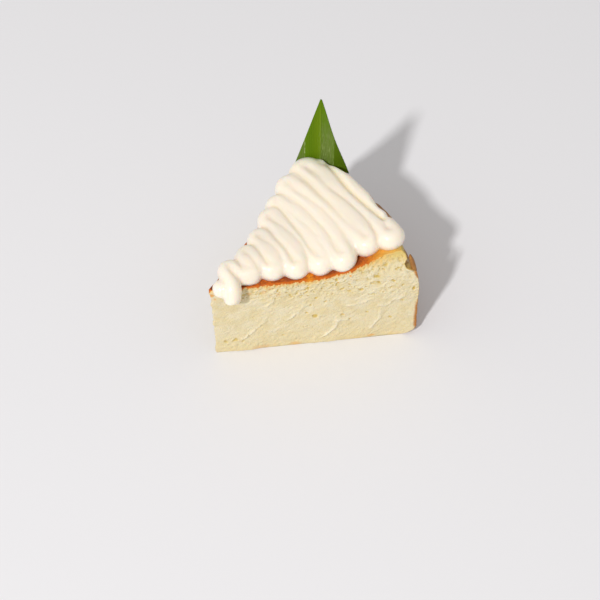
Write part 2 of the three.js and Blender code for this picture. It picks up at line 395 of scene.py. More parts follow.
# Painted shade in the recess where the corner is bitten off: darker olive crumb
OLIVE_SHADE = (0.60, 0.44, 0.12)
GOLD = (0.80, 0.52, 0.15)
SPECK_ORANGE = (0.74, 0.36, 0.09)
YELLOW_ORANGE = (0.84, 0.36, 0.02)
ORANGE = (0.60, 0.14, 0.010)
BROWN = (0.30, 0.07, 0.017)
LINE_BROWN = (0.46, 0.19, 0.045)
WALL_GOLD = (0.44, 0.21, 0.055)
WALL_BROWN = (0.28, 0.11, 0.03)
CREAM = (0.905, 0.81, 0.685)
# Painted shade in the grooves of the cream: a little darker and yellower
CREAM_GROOVE_SHADE = (0.88, 0.775, 0.58)
LEAF_GREEN = (0.098, 0.185, 0.004)
# Painted light shining through the blade: a brighter yellow green
LEAF_BACKLIT = (0.123, 0.206, 0.005)
LEAF_RIB = (0.155, 0.245, 0.01)
# Painted sheen on the leaf: grey green
LEAF_SHEEN = (0.125, 0.18, 0.035)
# Painted shade on the leaf
LEAF_SHADE = (0.078, 0.138, 0.005)
# Painted highlight: light dots along the left fold of the leaf
LEAF_GLINT = (0.36, 0.42, 0.18)
LEAF_VEIN = (0.22, 0.29, 0.085)

# Random patches of colour: scale, detail, and the noise where a patch begins and where it is full
PATCH_INPUTS = ("Scale", "Detail", "Low", "High")
CRUMB_PATCHES = (160, 3, 0.35, 0.7)
BASE_PATCHES = (90, 2, 0.4, 0.65)
LINE_PATCHES = (140, 3, 0.3, 0.55)
WALL_PATCHES = (100, 4, 0.35, 0.65)
# Patches of the painted sheen on the leaf
LEAF_SHEEN_PATCHES = (1.6, 3, 0.25, 0.6)
LEAF_STREAK_PATCHES = (4.2, 2, 0.5, 0.68)
# Patches of the painted highlight dots along the left fold
LEAF_GLINT_PATCHES = (9.0, 1, 0.45, 0.6)

# Noise of the cake: its middle, scale and detail, how it is drawn out upwards, and how the grain stands out
NOISE_MIDDLE = 0.5
WANDER_NOISE = (600, 5)
WANDER_DRAW = (1, 1, 0.35)
DOT_NOISE = (1700, 2)
GRAIN_NOISE = (1500, 3)
GRAIN_STRENGTH = 0.9
GRAIN_DEPTH = 0.0003

# Where each colour of the cake begins and where it is full: heights in metres, skin depths in millimetres
LOW_CRUMB = (0.022, 0.0)
LOW_CRUMB_SHARE = 0.7
# Where the painted shade of the hollows and the painted highlight of the lips begin and are full
PIT_SHADE_FADE = (0.0, 0.7)
LIP_HIGHLIGHT_FADE = (-0.05, -0.45)
BASE_FADE = (0.0035, 0.0)
BASE_SHARE = 0.4
SKIN_WANDER = 6.0
SKIN_TORN = 4.0
SKIN_GOLD = (3.2, 0.6)
SKIN_GOLD_SHARE = 0.85
SKIN_GOLD_NARROW = 0.5
SKIN_BROWNED = (1.3, 0.6)
BAKE_ORANGE = (0.0, 0.5)
TOP_WANDER = 1.6
TOP_BROWN = (0.25, 0.85)
TOP_EDGE_SHARE = 0.5
TOP_EDGE_FADE = (0.0, 2.2)
TOP_TORN_SHARE = 0.6
TOP_TORN_REACH = 8

# Where each band of the leaf begins and where it is full: millimetres sideways, heights in metres
LEAF_STRETCH = 60
LEAF_HALVES = (0.1, -0.3)
# Painted sheen to the foot and past the left fold, painted light through the blade left of the middle, and
# painted shade past the right fold
LEAF_SHEEN_HEIGHTS = (0.094, 0.074)
LEAF_BACKLIT_BAND = (5.5, 1.5)
LEAF_BACKLIT_HEIGHTS = (0.098, 0.084)
LEAF_SHEEN_BAND = (7.3, 7.7)
LEAF_SHADE_BAND = (-7.2, -7.6)
LEAF_RIB_PLACE = 0.1
LEAF_RIB_WIDTH = (0.5, 0.1)
LEAF_RIB_HEIGHTS = (0.0975, 0.088)
LEAF_RIB_SHARE = 0.7
# Width of the painted highlight dots along the left fold
LEAF_GLINT_WIDTH = (0.35, 0.05)
LEAF_STREAK_BAND = (2.0, -1.0)
LEAF_STREAK_HEIGHTS = (0.094, 0.066)
# Where the painted shade in the crease beside the rib lies
LEAF_CREASE_LEFT = (-0.1, -0.4)
LEAF_CREASE_RIGHT = (-0.75, -0.45)
LEAF_CREASE_SHADE = 0.6

# Camera, floor and light
CAMERA_TARGET = (0.00472, 0.00434, 0.0)
CAMERA_DISTANCE = 0.688
CAMERA_ELEVATION = math.radians(48.3)
CAMERA_AZIMUTH = math.radians(-35.2)
LENS = 81
SENSOR = 36
FLOOR_SIZE = 6.0
KEY_DIRECTION = math.radians(206)
KEY_ELEVATION = math.radians(41)
KEY_STRENGTH = 2.1
KEY_DISTANCE = 3.0
KEY_RADIUS = 0.104
OVERHEAD_STRENGTH = 0.38
OVERHEAD_ANGLE = math.radians(120)
FILL_COLOUR = (1.0, 0.985, 0.97, 1)
FILL_STRENGTH = 0.42


def lerp(first, second, share):
    """A value part of the way from the first to the second."""
    return first + (second - first) * share


def smooth(value, low, high):
    """0 at low, 1 at high, and a soft step between them. Low may be the larger."""
    share = np.clip((value - low) / (high - low), 0, 1)
    return share * share * (3 - 2 * share)


def near(distance, reach):
    """1 at no distance, fading out over the reach."""
    return np.exp(-((distance / reach) ** 2))


def ripple(x, y, size, seed):
    """Soft random waves from -1 to 1: random heights at the crossings of a square net, blended between."""
    net = np.random.default_rng(seed).uniform(-1, 1, (WAVE_NET, WAVE_NET))
    column, row = np.floor(x / size).astype(int), np.floor(y / size).astype(int)
    right, up = smooth(x / size - column, 0, 1), smooth(y / size - row, 0, 1)
    column, row = column % WAVE_NET, row % WAVE_NET
    next_column, next_row = (column + 1) % WAVE_NET, (row + 1) % WAVE_NET
    low = lerp(net[column, row], net[next_column, row], right)
    high = lerp(net[column, next_row], net[next_column, next_row], right)
    return lerp(low, high, up)


def waves(x, y, layers, first_seed=0):
    """The sum of layers of soft random waves, each with its own height, size and seed."""
    return sum(height * ripple(x, y, size, first_seed + seed) for height, size, seed in layers)


def corner_draw(share):
    """How far a rounded corner has drawn in, as a share of its size: a quarter circle."""
    return 1 - np.sqrt(1 - np.clip(share, 0, 1) ** 2)


def crest_height(angle):
    """Height of the rim at an angle about the tip: level, with one wave across the slice."""
    return CREST_HEIGHT + CREST_WAVE * np.sin(np.pi * angle / HALF_ANGLE)


def top_height(radius, angle):
    """Height of the sunken top: level in the middle, then a soft rise to the rim."""
    rise = smooth(radius, RISE_START, WALL_RADIUS - SHOULDER_ROUND)
    return lerp(CENTRE_HEIGHT, crest_height(angle), rise)


def corner_share(angle):
    """1 at the torn corner, fading out around the rim."""
    return 1 - smooth(angle, *BITE_FADE)


def bite(height, angle):
    """1 where the wall is broken away at the torn corner, 0 where it stands."""
    low = lerp(BITE_LOW[0], BITE_LOW[1], smooth(angle, *BITE_ANGLES))
    return smooth(height, low, BITE_TOP) * corner_share(angle)


def wall_radius(height, angle):
    """Radius of the baked wall: upright, round at the foot and the shoulder, with upright creases,
    chipped at the foot of the front cut, and leaning in and bitten back at the torn corner."""
    foot = FOOT_ROUND * corner_draw((FOOT_ROUND - height) / FOOT_ROUND)
    rounding = SHOULDER_ROUND - CORNER_SHARPER * corner_share(angle)
    shoulder = rounding * corner_draw((height - crest_height(angle) + SHOULDER_DROP) / SHOULDER_DROP)
    crease = PLEAT_DEPTH * (0.5 + 0.5 * np.cos(np.pi * PLEATS * angle / HALF_ANGLE)) ** PLEAT_SHARPNESS
    low = 1 - smooth(height, 0, FOOT_CHIP_HEIGHT)
    chip = FOOT_CHIP * low * near(angle / HALF_ANGLE + 1, FOOT_CHIP_REACH)
    lean = CORNER_LEAN * smooth(height, *CORNER_LEAN_HEIGHTS) * corner_share(angle)
    whole = WALL_RADIUS - foot - shoulder - crease - chip - lean
    return whole - bite(height, angle) * np.maximum(0, whole - np.interp(height, *zip(*BITE_EDGE)))


def wedge_point(share, across, rise):
    """The plain wedge: share of the way out from the tip, -1 to 1 across from the front cut to the back,
    0 to 1 up. The tip leans out and the front of the rim is torn back. Also gives radius and height."""
    angle = across * HALF_ANGLE
    radius = share * wall_radius(rise * crest_height(angle), angle)
    height = rise * top_height(share * (WALL_RADIUS - SHOULDER_ROUND), angle)
    lean = TIP_LEAN * (1 - share) ** TIP_LEAN_FADE * rise ** 2
    torn = np.maximum(0, -across) * TEAR_DEPTH * smooth(radius, *TEAR_RADII) * smooth(height, *TEAR_HEIGHTS)
    x = radius * np.cos(angle) - lean + torn * math.sin(HALF_ANGLE)
    y = radius * np.sin(angle) + TIP_HALF_WIDTH * across + torn * math.cos(HALF_ANGLE)
    return np.stack([x, y, height], -1), radius, height


def wedge_places(share, across, rise):
    """Points of the plain wedge, with their radius, height and angle, and how far each lies from the
    wall, the front cut, the back cut and the top."""
    points, radius, height = wedge_point(share, across, rise)
    angle = across * HALF_ANGLE
    return SimpleNamespace(
        points=points,
        radius=radius,
        height=height,
        angle=angle,
        inward=wall_radius(rise * crest_height(angle), angle) - radius,
        from_front=(across + 1) * HALF_ANGLE * radius,
        from_back=(1 - across) * HALF_ANGLE * radius,
        below=top_height(radius, angle) - height,
    )


def ledges(along, height, smears):
    """Knife smears: on one side of each bowed line the crumb stands out by the lip and curls back to
    the plane, on the other side it falls to the plane."""
    out = np.zeros_like(along)
    for start, end, lip in smears:
        reach = math.hypot(end[0] - start[0], end[1] - start[1])
        way = ((end[0] - start[0]) / reach, (end[1] - start[1]) / reach)
        ahead = ((along - start[0]) * way[0] + (height - start[1]) * way[1]) / reach
        bowed = LEDGE_BOW * reach * (1 - (2 * ahead - 1) ** 2)
        above = (height - start[1]) * way[0] - (along - start[0]) * way[1] + bowed
        within = smooth(ahead, -LEDGE_END, LEDGE_END) * smooth(ahead, 1 + LEDGE_END, 1 - LEDGE_END)
        behind = np.maximum(above, 0)
        rise = lerp(np.exp(-behind / LEDGE_FADE), np.exp(-behind / LEDGE_CURL), LEDGE_CURL_SHARE)
        swell = lerp(*LEDGE_SWELL, ahead) * LEDGE_HEIGHT * lip
        out += swell * within * smooth(above, *LEDGE_CLIFF) * rise
    return out


def pits(along, height, holes):
    """Bubbles cut open: round hollows with a soft rim. Gives how far in each point lies."""
    deep = np.zeros_like(along)
    for middle_along, middle_height, half_length, half_height, depth in holes:
        away = ((along - middle_along) / half_length) ** 2 + ((height - middle_height) / half_height) ** 2
        deep = np.maximum(deep, depth * smooth(away, *PIT_RIM))
    return deep


def fine_pits(seed):
    """Small bubbles: many in the porous upper part of a cut, most under the crust, and some strays."""
    rng = np.random.default_rng(seed)
    count = FINE_PITS + STRAY_PITS
    along = rng.uniform(*FINE_PIT_ALONG, count)
    lowest = np.interp(along, *zip(*POROUS_FROM))
    roof = top_height(along, 0) - FINE_PIT_ROOF
    height = lerp(roof, lowest, rng.uniform(0, 1, count) ** FINE_PIT_CROWDING)
    half_height = rng.uniform(*FINE_PIT_HALF_HEIGHTS, count)
    height[FINE_PITS:] = rng.uniform(*STRAY_HEIGHTS, STRAY_PITS)
    half_height[FINE_PITS:] *= STRAY_SIZE
    half_length = half_height * rng.uniform(*FINE_PIT_STRETCH, count)
    return list(zip(along, height, half_length, half_height, half_height * FINE_PIT_DEPTH))


def sponge(along, height, seed):
    """Pores of the crumb: fine and coarse waves drawn out along a slope."""
    slant_along = along * math.cos(STREAK_SLOPE) + height * math.sin(STREAK_SLOPE)
    slant_up = height * math.cos(STREAK_SLOPE) - along * math.sin(STREAK_SLOPE)
    fine = waves(slant_along / FINE_STRETCH, slant_up, FINE_SPONGE, seed)
    return fine + waves(slant_along / COARSE_STRETCH, slant_up, COARSE_SPONGE, seed)


def cut_relief(along, height, smears, holes, seed):
    """How far a cut face stands out of its plane, the sum of its waves, pores, smears and bubbles, and
    how deep its hollows go, with painted shade added in the sunken pores and a painted highlight on the
    raised pores and the lips. Lines and bubbles are bent a little by soft waves."""
    porous = smooth(height - np.interp(along, *zip(*POROUS_FROM)), *POROUS_BLEND)
    bent_along = along + waves(along, height, ALONG_WARP, seed)
    bent_height = height + waves(along, height, UP_WARP, seed)
    pores = sponge(bent_along, bent_height, seed)
    foot = near(height, FOOT_REACH)
    slanted = (along - DRAG_SLANT[0] * height, height - DRAG_SLANT[1] * along)
    drag = waves(*slanted, DRAG_WAVES, seed) * (1 - porous)
    calm = 1 - CALM_SHARE * smooth(along, *CALM_ALONG) * smooth(height, *CALM_HEIGHTS)
    rough = (CRUMB_RELIEF + POROUS_RELIEF * porous + FOOT_RELIEF * foot) * pores * calm
    bulge = FOOT_BULGE * foot * (FOOT_LEVEL + waves(along, height, FOOT_WAVES, seed))
    deep = PIT_DEPTH * pits(bent_along, bent_height, holes)
    jagged = waves(along, height, SMEAR_JAGS, seed)
    lips = ledges(bent_along + jagged, bent_height - jagged, smears)
    # Painted shade in the sunken pores and painted highlight on the raised ones
    pore_shade_and_highlight = porous * (PORE_SHADE * np.maximum(0, -pores) - PORE_HIGHLIGHT * np.maximum(0, pores))
    out = waves(along, height, BROAD_WAVES, seed) + drag + rough + bulge + lips - deep
    # The second value marks painted shade in the hollows and a painted highlight on the lips
    return out, deep + pore_shade_and_highlight - LIP_HIGHLIGHT_SHARE * lips


def top_relief(points):
    """Height of the blisters on the baked top."""
    return waves(points[..., 0], points[..., 1], TOP_BLISTERS)


def cake_moves(at, front, back):
    """How far each point moves off the plain wedge: every face has its own relief along its own normal,
    which carries a little way around the edges, and the tip is jagged."""
    off_floor = smooth(at.height, 0, FLOOR_FADE)
    cut_fade = smooth(at.radius, 0, TIP_FADE) * off_floor
    arc = at.angle * WALL_RADIUS
    wall = waves(arc, at.height * BUCKLE_SQUASH, WALL_BUCKLES) + waves(arc, at.height, WALL_GRAIN)
    jags = waves(at.height, np.zeros_like(at.height), TIP_JAGS) * near(at.radius, TIP_JAG_REACH)
    sine, cosine = math.sin(HALF_ANGLE), math.cos(HALF_ANGLE)
    outward = np.stack([np.cos(at.angle), np.sin(at.angle), np.zeros_like(at.angle)], -1)
    reliefs = (
        (front * near(at.from_front, EDGE_REACH) * cut_fade, np.array([-sine, -cosine, 0])),
        (back * near(at.from_back, EDGE_REACH) * cut_fade, np.array([-sine, cosine, 0])),
        (wall * near(at.inward, EDGE_REACH) * smooth(at.height, 0, WALL_FOOT_FADE), outward),
        (top_relief(at.points) * near(at.below, EDGE_REACH), np.array([0, 0, 1])),
        (jags * off_floor, np.array([-1, 0, 0])),
    )
    return sum(height[..., None] * normal for height, normal in reliefs)


def cake_marks(share, at, front_shade_and_highlight, back_shade_and_highlight):
    """What the cake's material reads at each point: baked wall, depth under the top, depth in the
    hollows with painted pore shade and painted lip highlight, the browned line at the wall, torn crumb,
    bitten crumb that takes painted shade, and specks."""
    on_front = near(at.from_front, MARK_REACH)
    on_back = near(at.from_back, MARK_REACH)
    thickness = np.interp(at.height, SKIN_HEIGHTS, SKIN_THICKNESS)
    broken = bite(at.height, at.angle) * near(at.inward, BITE_SKIN)
    high = smooth(at.radius, *TORN_RADII) * smooth(at.height, *TORN_HEIGHTS)
    torn = high * near(at.from_front, TORN_REACH)
    pale = near(at.from_front, CORNER_PALE) * (1 - smooth(thickness, *SKIN_SHOWS))
    return {
        "wall": smooth(share, WALL_STARTS, 1) * (1 - pale) * (1 - broken),
        "skin": at.below,
        "deep": front_shade_and_highlight * on_front + back_shade_and_highlight * on_back,
        "edge": 1 - smooth(at.inward / thickness, *SKIN_BLEND),
        "torn": np.maximum(torn, broken),
        # Mask for the painted shade in the recess of the bitten corner
        "bitten": broken * near(at.from_front, BITE_REACH),
        "speck": pits(at.radius, at.height, SPECKS) * on_front,
    }


def cake_side(share, across, rise):
    """The side of the wedge with its relief and marks. The back cut has every other smear of the front."""
    at = wedge_places(share, across, rise)
    front_holes = list(PITS) + fine_pits(FRONT_PIT_SEED)
    front, front_shade_and_highlight = cut_relief(at.radius, at.height, LEDGES, front_holes, FRONT_SEED)
    back, back_shade_and_highlight = cut_relief(at.radius, at.height, LEDGES[::2], fine_pits(BACK_PIT_SEED), BACK_SEED)
    return at.points + cake_moves(at, front, back), cake_marks(share, at, front_shade_and_highlight, back_shade_and_highlight)


def cake_cap(share, across, edge):
    """Rings over the top, each the wedge's outline drawn part of the way in to the middle. The relief
    of the edge fades inwards into blisters. Returns the points and how far inland they lie."""
    ways = np.array(TOP_RINGS)[:, None]
    ring_share = lerp(share[None, :], TOP_MIDDLE_SHARE, ways)
    ring_across = lerp(across[None, :], 0, ways)
    plain, _, _ = wedge_point(ring_share, ring_across, np.ones_like(ring_share))
    plain_edge, _, _ = wedge_point(share, across, np.ones_like(share))
    inland = np.linalg.norm(plain - plain_edge[None], axis=-1)
    carried = near(inland, EDGE_REACH)[..., None]
    blisters = top_relief(plain)[..., None] * np.array([0, 0, 1])
    return plain + carried * (edge - plain_edge)[None] + (1 - carried) * blisters, inland


def cake_columns():
    """Share and across for each column around the wedge: out along the front cut, around the rim, back
    along the back cut."""
    front = np.arange(FRONT_STEPS) / FRONT_STEPS
    rim = np.arange(RIM_STEPS) / RIM_STEPS
    back = np.arange(BACK_STEPS + 1) / BACK_STEPS
    share = np.concatenate([front, np.ones(RIM_STEPS), 1 - back])
    across = np.concatenate([-np.ones(FRONT_STEPS), 2 * rim - 1, np.ones(BACK_STEPS + 1)])
    return share, across


def ring_faces(rings, columns):
    """Quads between rings of points, each ring closed on itself."""
    base = np.arange(rings - 1)[:, None] * columns
    here = base + np.arange(columns)[None, :]
    ahead = base + (np.arange(columns)[None, :] + 1) % columns
    return np.stack([here, ahead, columns + ahead, columns + here], -1).reshape(-1, 4).tolist()


def tube_faces(rings, columns):
    """Quads between rings of points, and one face over each end."""
    first = list(range(columns))
    last = [index + (rings - 1) * columns for index in first]
    return ring_faces(rings, columns) + [first[::-1], last]


def cake_faces(columns):
    """Quads around the side and over the top, a fan to the middle point, and one face for the base."""
    rings = SIDE_STEPS + 1 + len(TOP_RINGS)
    here = np.arange(columns)
    last = (rings - 1) * columns
    fan = np.stack([last + here, last + (here + 1) % columns, np.full(columns, rings * columns)], -1)
    return ring_faces(rings, columns) + fan.tolist() + [here[::-1].tolist()]


def joined(solids):
    """Points and faces of several solids as one list of each."""
    points, faces = [], []
    for more_points, more_faces in solids:
        gone = sum(len(part) for part in points)
        points.append(more_points)
        faces += [[index + gone for index in face] for face in more_faces]
    return np.concatenate(points), faces


def link(name, data):
    """A new object in the scene."""
    made = bpy.data.objects.new(name, data)
    bpy.context.scene.collection.objects.link(made)
    return made


def new_mesh(name, points, faces):
    """A smooth mesh in the row frame from points in millimetres in the wedge's frame."""
    mesh = bpy.data.meshes.new(name)
    mesh.from_pydata((points + TIP_PLACE) * MM, [], faces)
    mesh.shade_smooth()
    return mesh


def keep_values(mesh, name, values):
    """A value for each of the mesh's points, which its material can read."""
    layer = mesh.attributes.new(name, "FLOAT", "POINT")
    layer.data.foreach_set("value", np.ascontiguousarray(values, np.float32))


def make_cake():
    """The wedge as one closed skin: a net around the side, rings in over the top to a middle point and
    a flat base, with the flake at the torn corner. A mark has values for the side, the top, its middle
    and the flake."""
    share, across = cake_columns()
    even = np.linspace(0, 1, SIDE_STEPS + 1)[:, None]
    rise = even + SIDE_SPREAD * even * (1 - even)
    side, marks = cake_side(*np.broadcast_arrays(share, across, rise))
    cap, inland = cake_cap(share, across, side[-1])
    middle = (TOP_MIDDLE_SHARE * (WALL_RADIUS - SHOULDER_ROUND), 0, CENTRE_HEIGHT + TOP_MIDDLE_RISE)
    skin = np.concatenate([side.reshape(-1, 3), cap.reshape(-1, 3), [middle]])
    flake, flake_faces = make_flake()
    points, faces = joined([(skin, cake_faces(len(share))), (flake, flake_faces)])
    mesh = new_mesh("cake_slice", points, faces)
    at_top = TOP_EDGE_SHARE * (np.arange(SIDE_STEPS + 1) == SIDE_STEPS)[:, None]
    fade = np.exp(-inland / TOP_TORN_REACH)
    values = {
        "skin": (marks["skin"], 0, 0, FLAKE_UNDER_TOP),
        "deep": (marks["deep"], 0, 0, 0),
        "edge": (marks["edge"], 0, 0, 0),
        "speck": (marks["speck"], 0, 0, 0),
        "inland": (0, inland, 0, 0),
        "top": (at_top, 1, 0, 0),
        "wall": (marks["wall"], 0, 0, 1),
        "torn": (marks["torn"], marks["torn"][-1] * fade, 0, 0),
        "bitten": (marks["bitten"], marks["bitten"][-1] * fade, 0, 0),
    }
    shapes = (side.shape[:2], cap.shape[:2], 1, len(flake))
    for name, parts in values.items():
        spread = [np.broadcast_to(part, shape).ravel() for part, shape in zip(parts, shapes)]
        keep_values(mesh, name, np.concatenate(spread))
    keep_values(mesh, "bake", np.interp(np.hypot(points[:, 0], points[:, 1]), BAKE_PLACES, BAKE_DARKNESS))
    return link("cake_slice", mesh)


def make_flake():
    """The flake that stands at the torn corner: an ellipse carried up the wall, thinner to its tip."""
    radius, height = np.array(FLAKE_PATH).T
    line = np.stack([radius * math.cos(FLAKE_ANGLE), radius * math.sin(FLAKE_ANGLE), height], -1)
    path, thickness = even_path(line, np.array(FLAKE_HALF_THICKNESS))
    return bead(path, np.full(len(path), FLAKE_HALF_WIDTH), thickness)


def crown(x, y):
    """How far the cream is heaped up: a parabola, highest midway between its front and back turns and
    level at them, which sinks towards the rim."""
    front, back = [np.interp(x, *np.array(turns).T[:2]) for turns in (FRONT_TURNS, BACK_TURNS)]
    half = (back - front) / 2
    share = np.clip((y - (front + back) / 2) / half, -1, 1)
    return CREAM_CROWN * half * (1 - share ** 2) * (1 - CROWN_LOSS * smooth(x, *CROWN_FADE))


def on_top(x, y, lift):
    """A point a lift above the wedge's top, raised by the crown."""
    return np.stack([x, y, top_height(np.hypot(x, y), np.arctan2(y, x)) + lift + crown(x, y)], -1)


def even_path(line, widths):
    """A path resampled in even steps, then smoothed with a bell curve along its length."""
    gone = np.concatenate([[0], np.cumsum(np.linalg.norm(np.diff(line, axis=0), axis=1))])
    places = np.linspace(0, gone[-1], int(gone[-1] / PATH_STEP))
    fields = [np.interp(places, gone, field) for field in (*line.T, widths)]
    reach = int(PATH_BELL * PATH_SMOOTHING / PATH_STEP)
    bell = np.exp(-0.5 * (np.arange(-reach, reach + 1) * PATH_STEP / PATH_SMOOTHING) ** 2)
    bell /= bell.sum()
    soft = [np.convolve(np.pad(field, reach, mode="edge"), bell, mode="valid") for field in fields]
    return np.stack(soft[:3], -1), soft[3]


def bead(path, half_width, half_height):
    """An ellipse carried along a path, upright across it, with round ends. Returns points and faces."""
    way = np.gradient(path, axis=0)
    way /= np.linalg.norm(way, axis=1)[:, None]
    across = np.stack([way[:, 1], -way[:, 0], np.zeros(len(way))], -1)
    across /= np.linalg.norm(across, axis=1)[:, None]
    upward = np.cross(across, way)
    gone = np.concatenate([[0], np.cumsum(np.linalg.norm(np.diff(path, axis=0), axis=1))])
    from_end = np.minimum(gone, gone[-1] - gone)
    ends = np.sqrt(np.clip(1 - (1 - np.clip(from_end / half_width, 0, 1)) ** 2, BEAD_END, 1))
    turn = np.linspace(0, 2 * np.pi, BEAD_SIDES, endpoint=False)
    wide = (half_width * ends)[:, None, None] * np.cos(turn)[None, :, None] * across[:, None, :]
    tall = (half_height * ends)[:, None, None] * np.sin(turn)[None, :, None] * upward[:, None, :]
    points = (path[:, None, :] + wide + tall).reshape(-1, 3)
    return points, tube_faces(len(path), BEAD_SIDES)


def strand_curve(here, there, middle, step):
    """A strand from one turn to the next: the parabola that passes through its middle point."""
    pull = 2 * middle - (here + there) / 2
    ends = np.outer(here, (1 - step) ** 2) + np.outer(there, step ** 2)
    return ends + np.outer(pull, 2 * step * (1 - step))


def bead_path():
    """Middle line of the main bead and its half width: up the drop, then strands that curve through
    their middle points, joined by half ellipses at the turns, at the back and the front by turns."""
    line, widths = [np.array(DROP_PATH)], [np.array(DROP_HALF_WIDTHS)]
    here, here_width = np.array(START, float), TURN_HALF_WIDTH
    step = np.linspace(0, 1, STRAND_STEPS)
    turn = np.linspace(0, np.pi, TURN_STEPS)[1:-1]
    for number, ((x, y, size), (middle_x, middle_y, half_width)) in enumerate(zip(TURNS, STRANDS)):
        shift, turn_width = STRAND_SHIFT * size, TURN_HALF_WIDTH * size
        there = np.array([x - shift, y])
        middle = np.array([middle_x - CROWN_LEAN * crown(middle_x, middle_y), middle_y])
        line.append(on_top(*strand_curve(here, there, middle, step), BEAD_LIFT))
        ends = lerp(here_width, turn_width, step)
        widths.append(lerp(ends, half_width, np.sin(np.pi * step) ** STRAND_SWELL))
        side = 1 if number % 2 == 0 else -1
        bend_y = y + side * TURN_REACH * size * np.sin(turn)
        line.append(on_top(x - shift * np.cos(turn), bend_y, BEAD_LIFT))
        widths.append(np.full(len(turn), turn_width))
        here, here_width = np.array([x + shift, y]), turn_width
    line.append(on_top(*np.array(END)[:, None], BEAD_LIFT))
    widths.append(np.array([here_width]))
    return even_path(np.concatenate(line), np.concatenate(widths))


def lobed(x, turns, reach):
    """Edge of a row of lobes: a line through the turns, and round lobes from it that meet in notches."""
    turn_x, turn_y, _ = np.array(turns).T
    place = np.interp(x, turn_x, np.arange(len(turn_x)))
    return np.interp(x, turn_x, turn_y) + reach * np.abs(np.cos(np.pi * place)) ** LOBE_ROUNDNESS


def squared(wave):
    """A sine or cosine pushed out towards -1 and 1, so that the two make a squared ellipse."""
    return np.sign(wave) * np.abs(wave) ** BODY_SQUARENESS


def cream_body():
    """The body under the strands: a squared ellipse across the wedge, from the lobes of the front turns
    to those of the back turns, carried out from a round nose near the tip. Only its upper half is
    heaped up, so that the underside stays in the cake. Returns points and faces."""
    stations, sides = BODY_STEPS
    x = np.linspace(*BODY_ENDS, stations)[:, None]
    front_y = lobed(x, FRONT_TURNS, -BODY_FRONT_REACH)
    back_y = lobed(x, BACK_TURNS, BODY_BACK_REACH)
    turn = np.linspace(0, 2 * np.pi, sides, endpoint=False)[None, :]
    wide, tall = squared(np.cos(turn)), squared(np.sin(turn))
    nose = np.sqrt(1 - (1 - np.clip((x - BODY_ENDS[0]) / BODY_NOSE, BODY_NOSE_START, 1)) ** 2)
    y = (back_y + front_y) / 2 + (back_y - front_y) / 2 * wide * nose
    lift = BEAD_LIFT + BODY_HALF_HEIGHT * tall * nose - crown(x, y) * (tall < 0)
    points = on_top(x + 0 * turn, y, lift).reshape(-1, 3)
    return points, tube_faces(stations, sides)


def cream_solids():
    """What is melted into the cream: the main bead, the strand at the rim, the bulge at the tip and the
    body between. A wider bead is a little taller."""
    last_x, last_y, last_widths = np.array(LAST_STRAND).T
    lines = (bead_path(), even_path(on_top(last_x, last_y, BEAD_LIFT), last_widths))
    strands = [bead(path, widths, BEAD_HALF_HEIGHT * (widths / TURN_HALF_WIDTH) ** BEAD_RISE)
               for path, widths in lines]
    bulge, bulge_widths = even_path(np.array(BULGE_PATH), np.full(len(BULGE_PATH), BULGE_HALF_WIDTH))
    return joined([*strands, bead(bulge, bulge_widths, bulge_widths), cream_body()])


def hollows(places):
    """Depth of the grooves at places seen from above: each has a sharp floor and sides that ease out
    over its reach, and fades and widens to its inner end."""
    deepest = np.zeros(len(places))
    for depth, reach, fade, spots in GROOVES:
        flat = np.column_stack([np.array(spots, float), np.zeros(len(spots))])
        line, _ = even_path(flat, np.zeros(len(spots)))
        line[:, 0] -= CROWN_LEAN * crown(line[:, 0], line[:, 1])
        away = np.hypot(places[:, 0:1] - line[None, :, 0], places[:, 1:2] - line[None, :, 1])
        nearest = np.argmin(away, axis=1)
        ahead = (len(line) - 1 - nearest) * PATH_STEP
        wide = reach * (1 + GROOVE_FLARE * near(ahead, fade))
        slope = np.clip(1 - away[np.arange(len(places)), nearest] / wide, 0, 1)
        deepest = np.maximum(deepest, depth * slope ** 2 * smooth(ahead, 0, fade))
    return deepest


def clear_of_leaf(points):
    """Points behind the leaf's front face, or nearer to it than a gap, are drawn forwards out of it."""
    x = points[:, 0] - LEAF_FOOT[0]
    y = points[:, 1] - LEAF_FOOT[1]
    sine, cosine = math.sin(LEAF_DIRECTION), math.cos(LEAF_DIRECTION)
    behind = np.maximum(0, x * sine - y * cosine - leaf_pleat(x * cosine + y * sine) + LEAF_GAP)
    return points - behind[:, None] * np.array([sine, -cosine, 0])


def vectors(rows, key):
    """Vectors kept in a mesh, one to a row."""
    values = np.zeros(len(rows) * 3, np.float32)
    rows.foreach_get(key, values)
    return values.reshape(-1, 3).astype(float)


def press(mesh):
    """Presses the grooves down into the cream where it faces up, and draws it clear of the leaf."""
    points = vectors(mesh.vertices, "co") / MM - TIP_PLACE
    facing = vectors(mesh.vertex_normals, "vector")[:, 2]
    hollow = hollows(points) * smooth(facing, *GROOVE_FACING)
    points[:, 2] -= hollow
    places = (clear_of_leaf(points) + TIP_PLACE) * MM
    mesh.vertices.foreach_set("co", places.astype(np.float32).ravel())
    # The groove depth is kept as the mark for the painted shade in the grooves
    keep_values(mesh, "hollow", hollow / GROOVE_SHADE_FULL)


def settled(mesh, voxel, rounds):
    """A mesh after its solids are melted into one skin, if a voxel size is given, and softened."""
    raw = link("cream_raw", mesh)
    if voxel:
        melt = raw.modifiers.new("melt", "REMESH")
        melt.mode = "VOXEL"
        melt.voxel_size = voxel * MM
    soften = raw.modifiers.new("soften", "SMOOTH")
    soften.factor = SOFTENING_SHARE
    soften.iterations = rounds
    made = bpy.data.meshes.new_from_object(raw.evaluated_get(bpy.context.evaluated_depsgraph_get()))
    bpy.data.objects.remove(raw)
    made.shade_smooth()
    return made


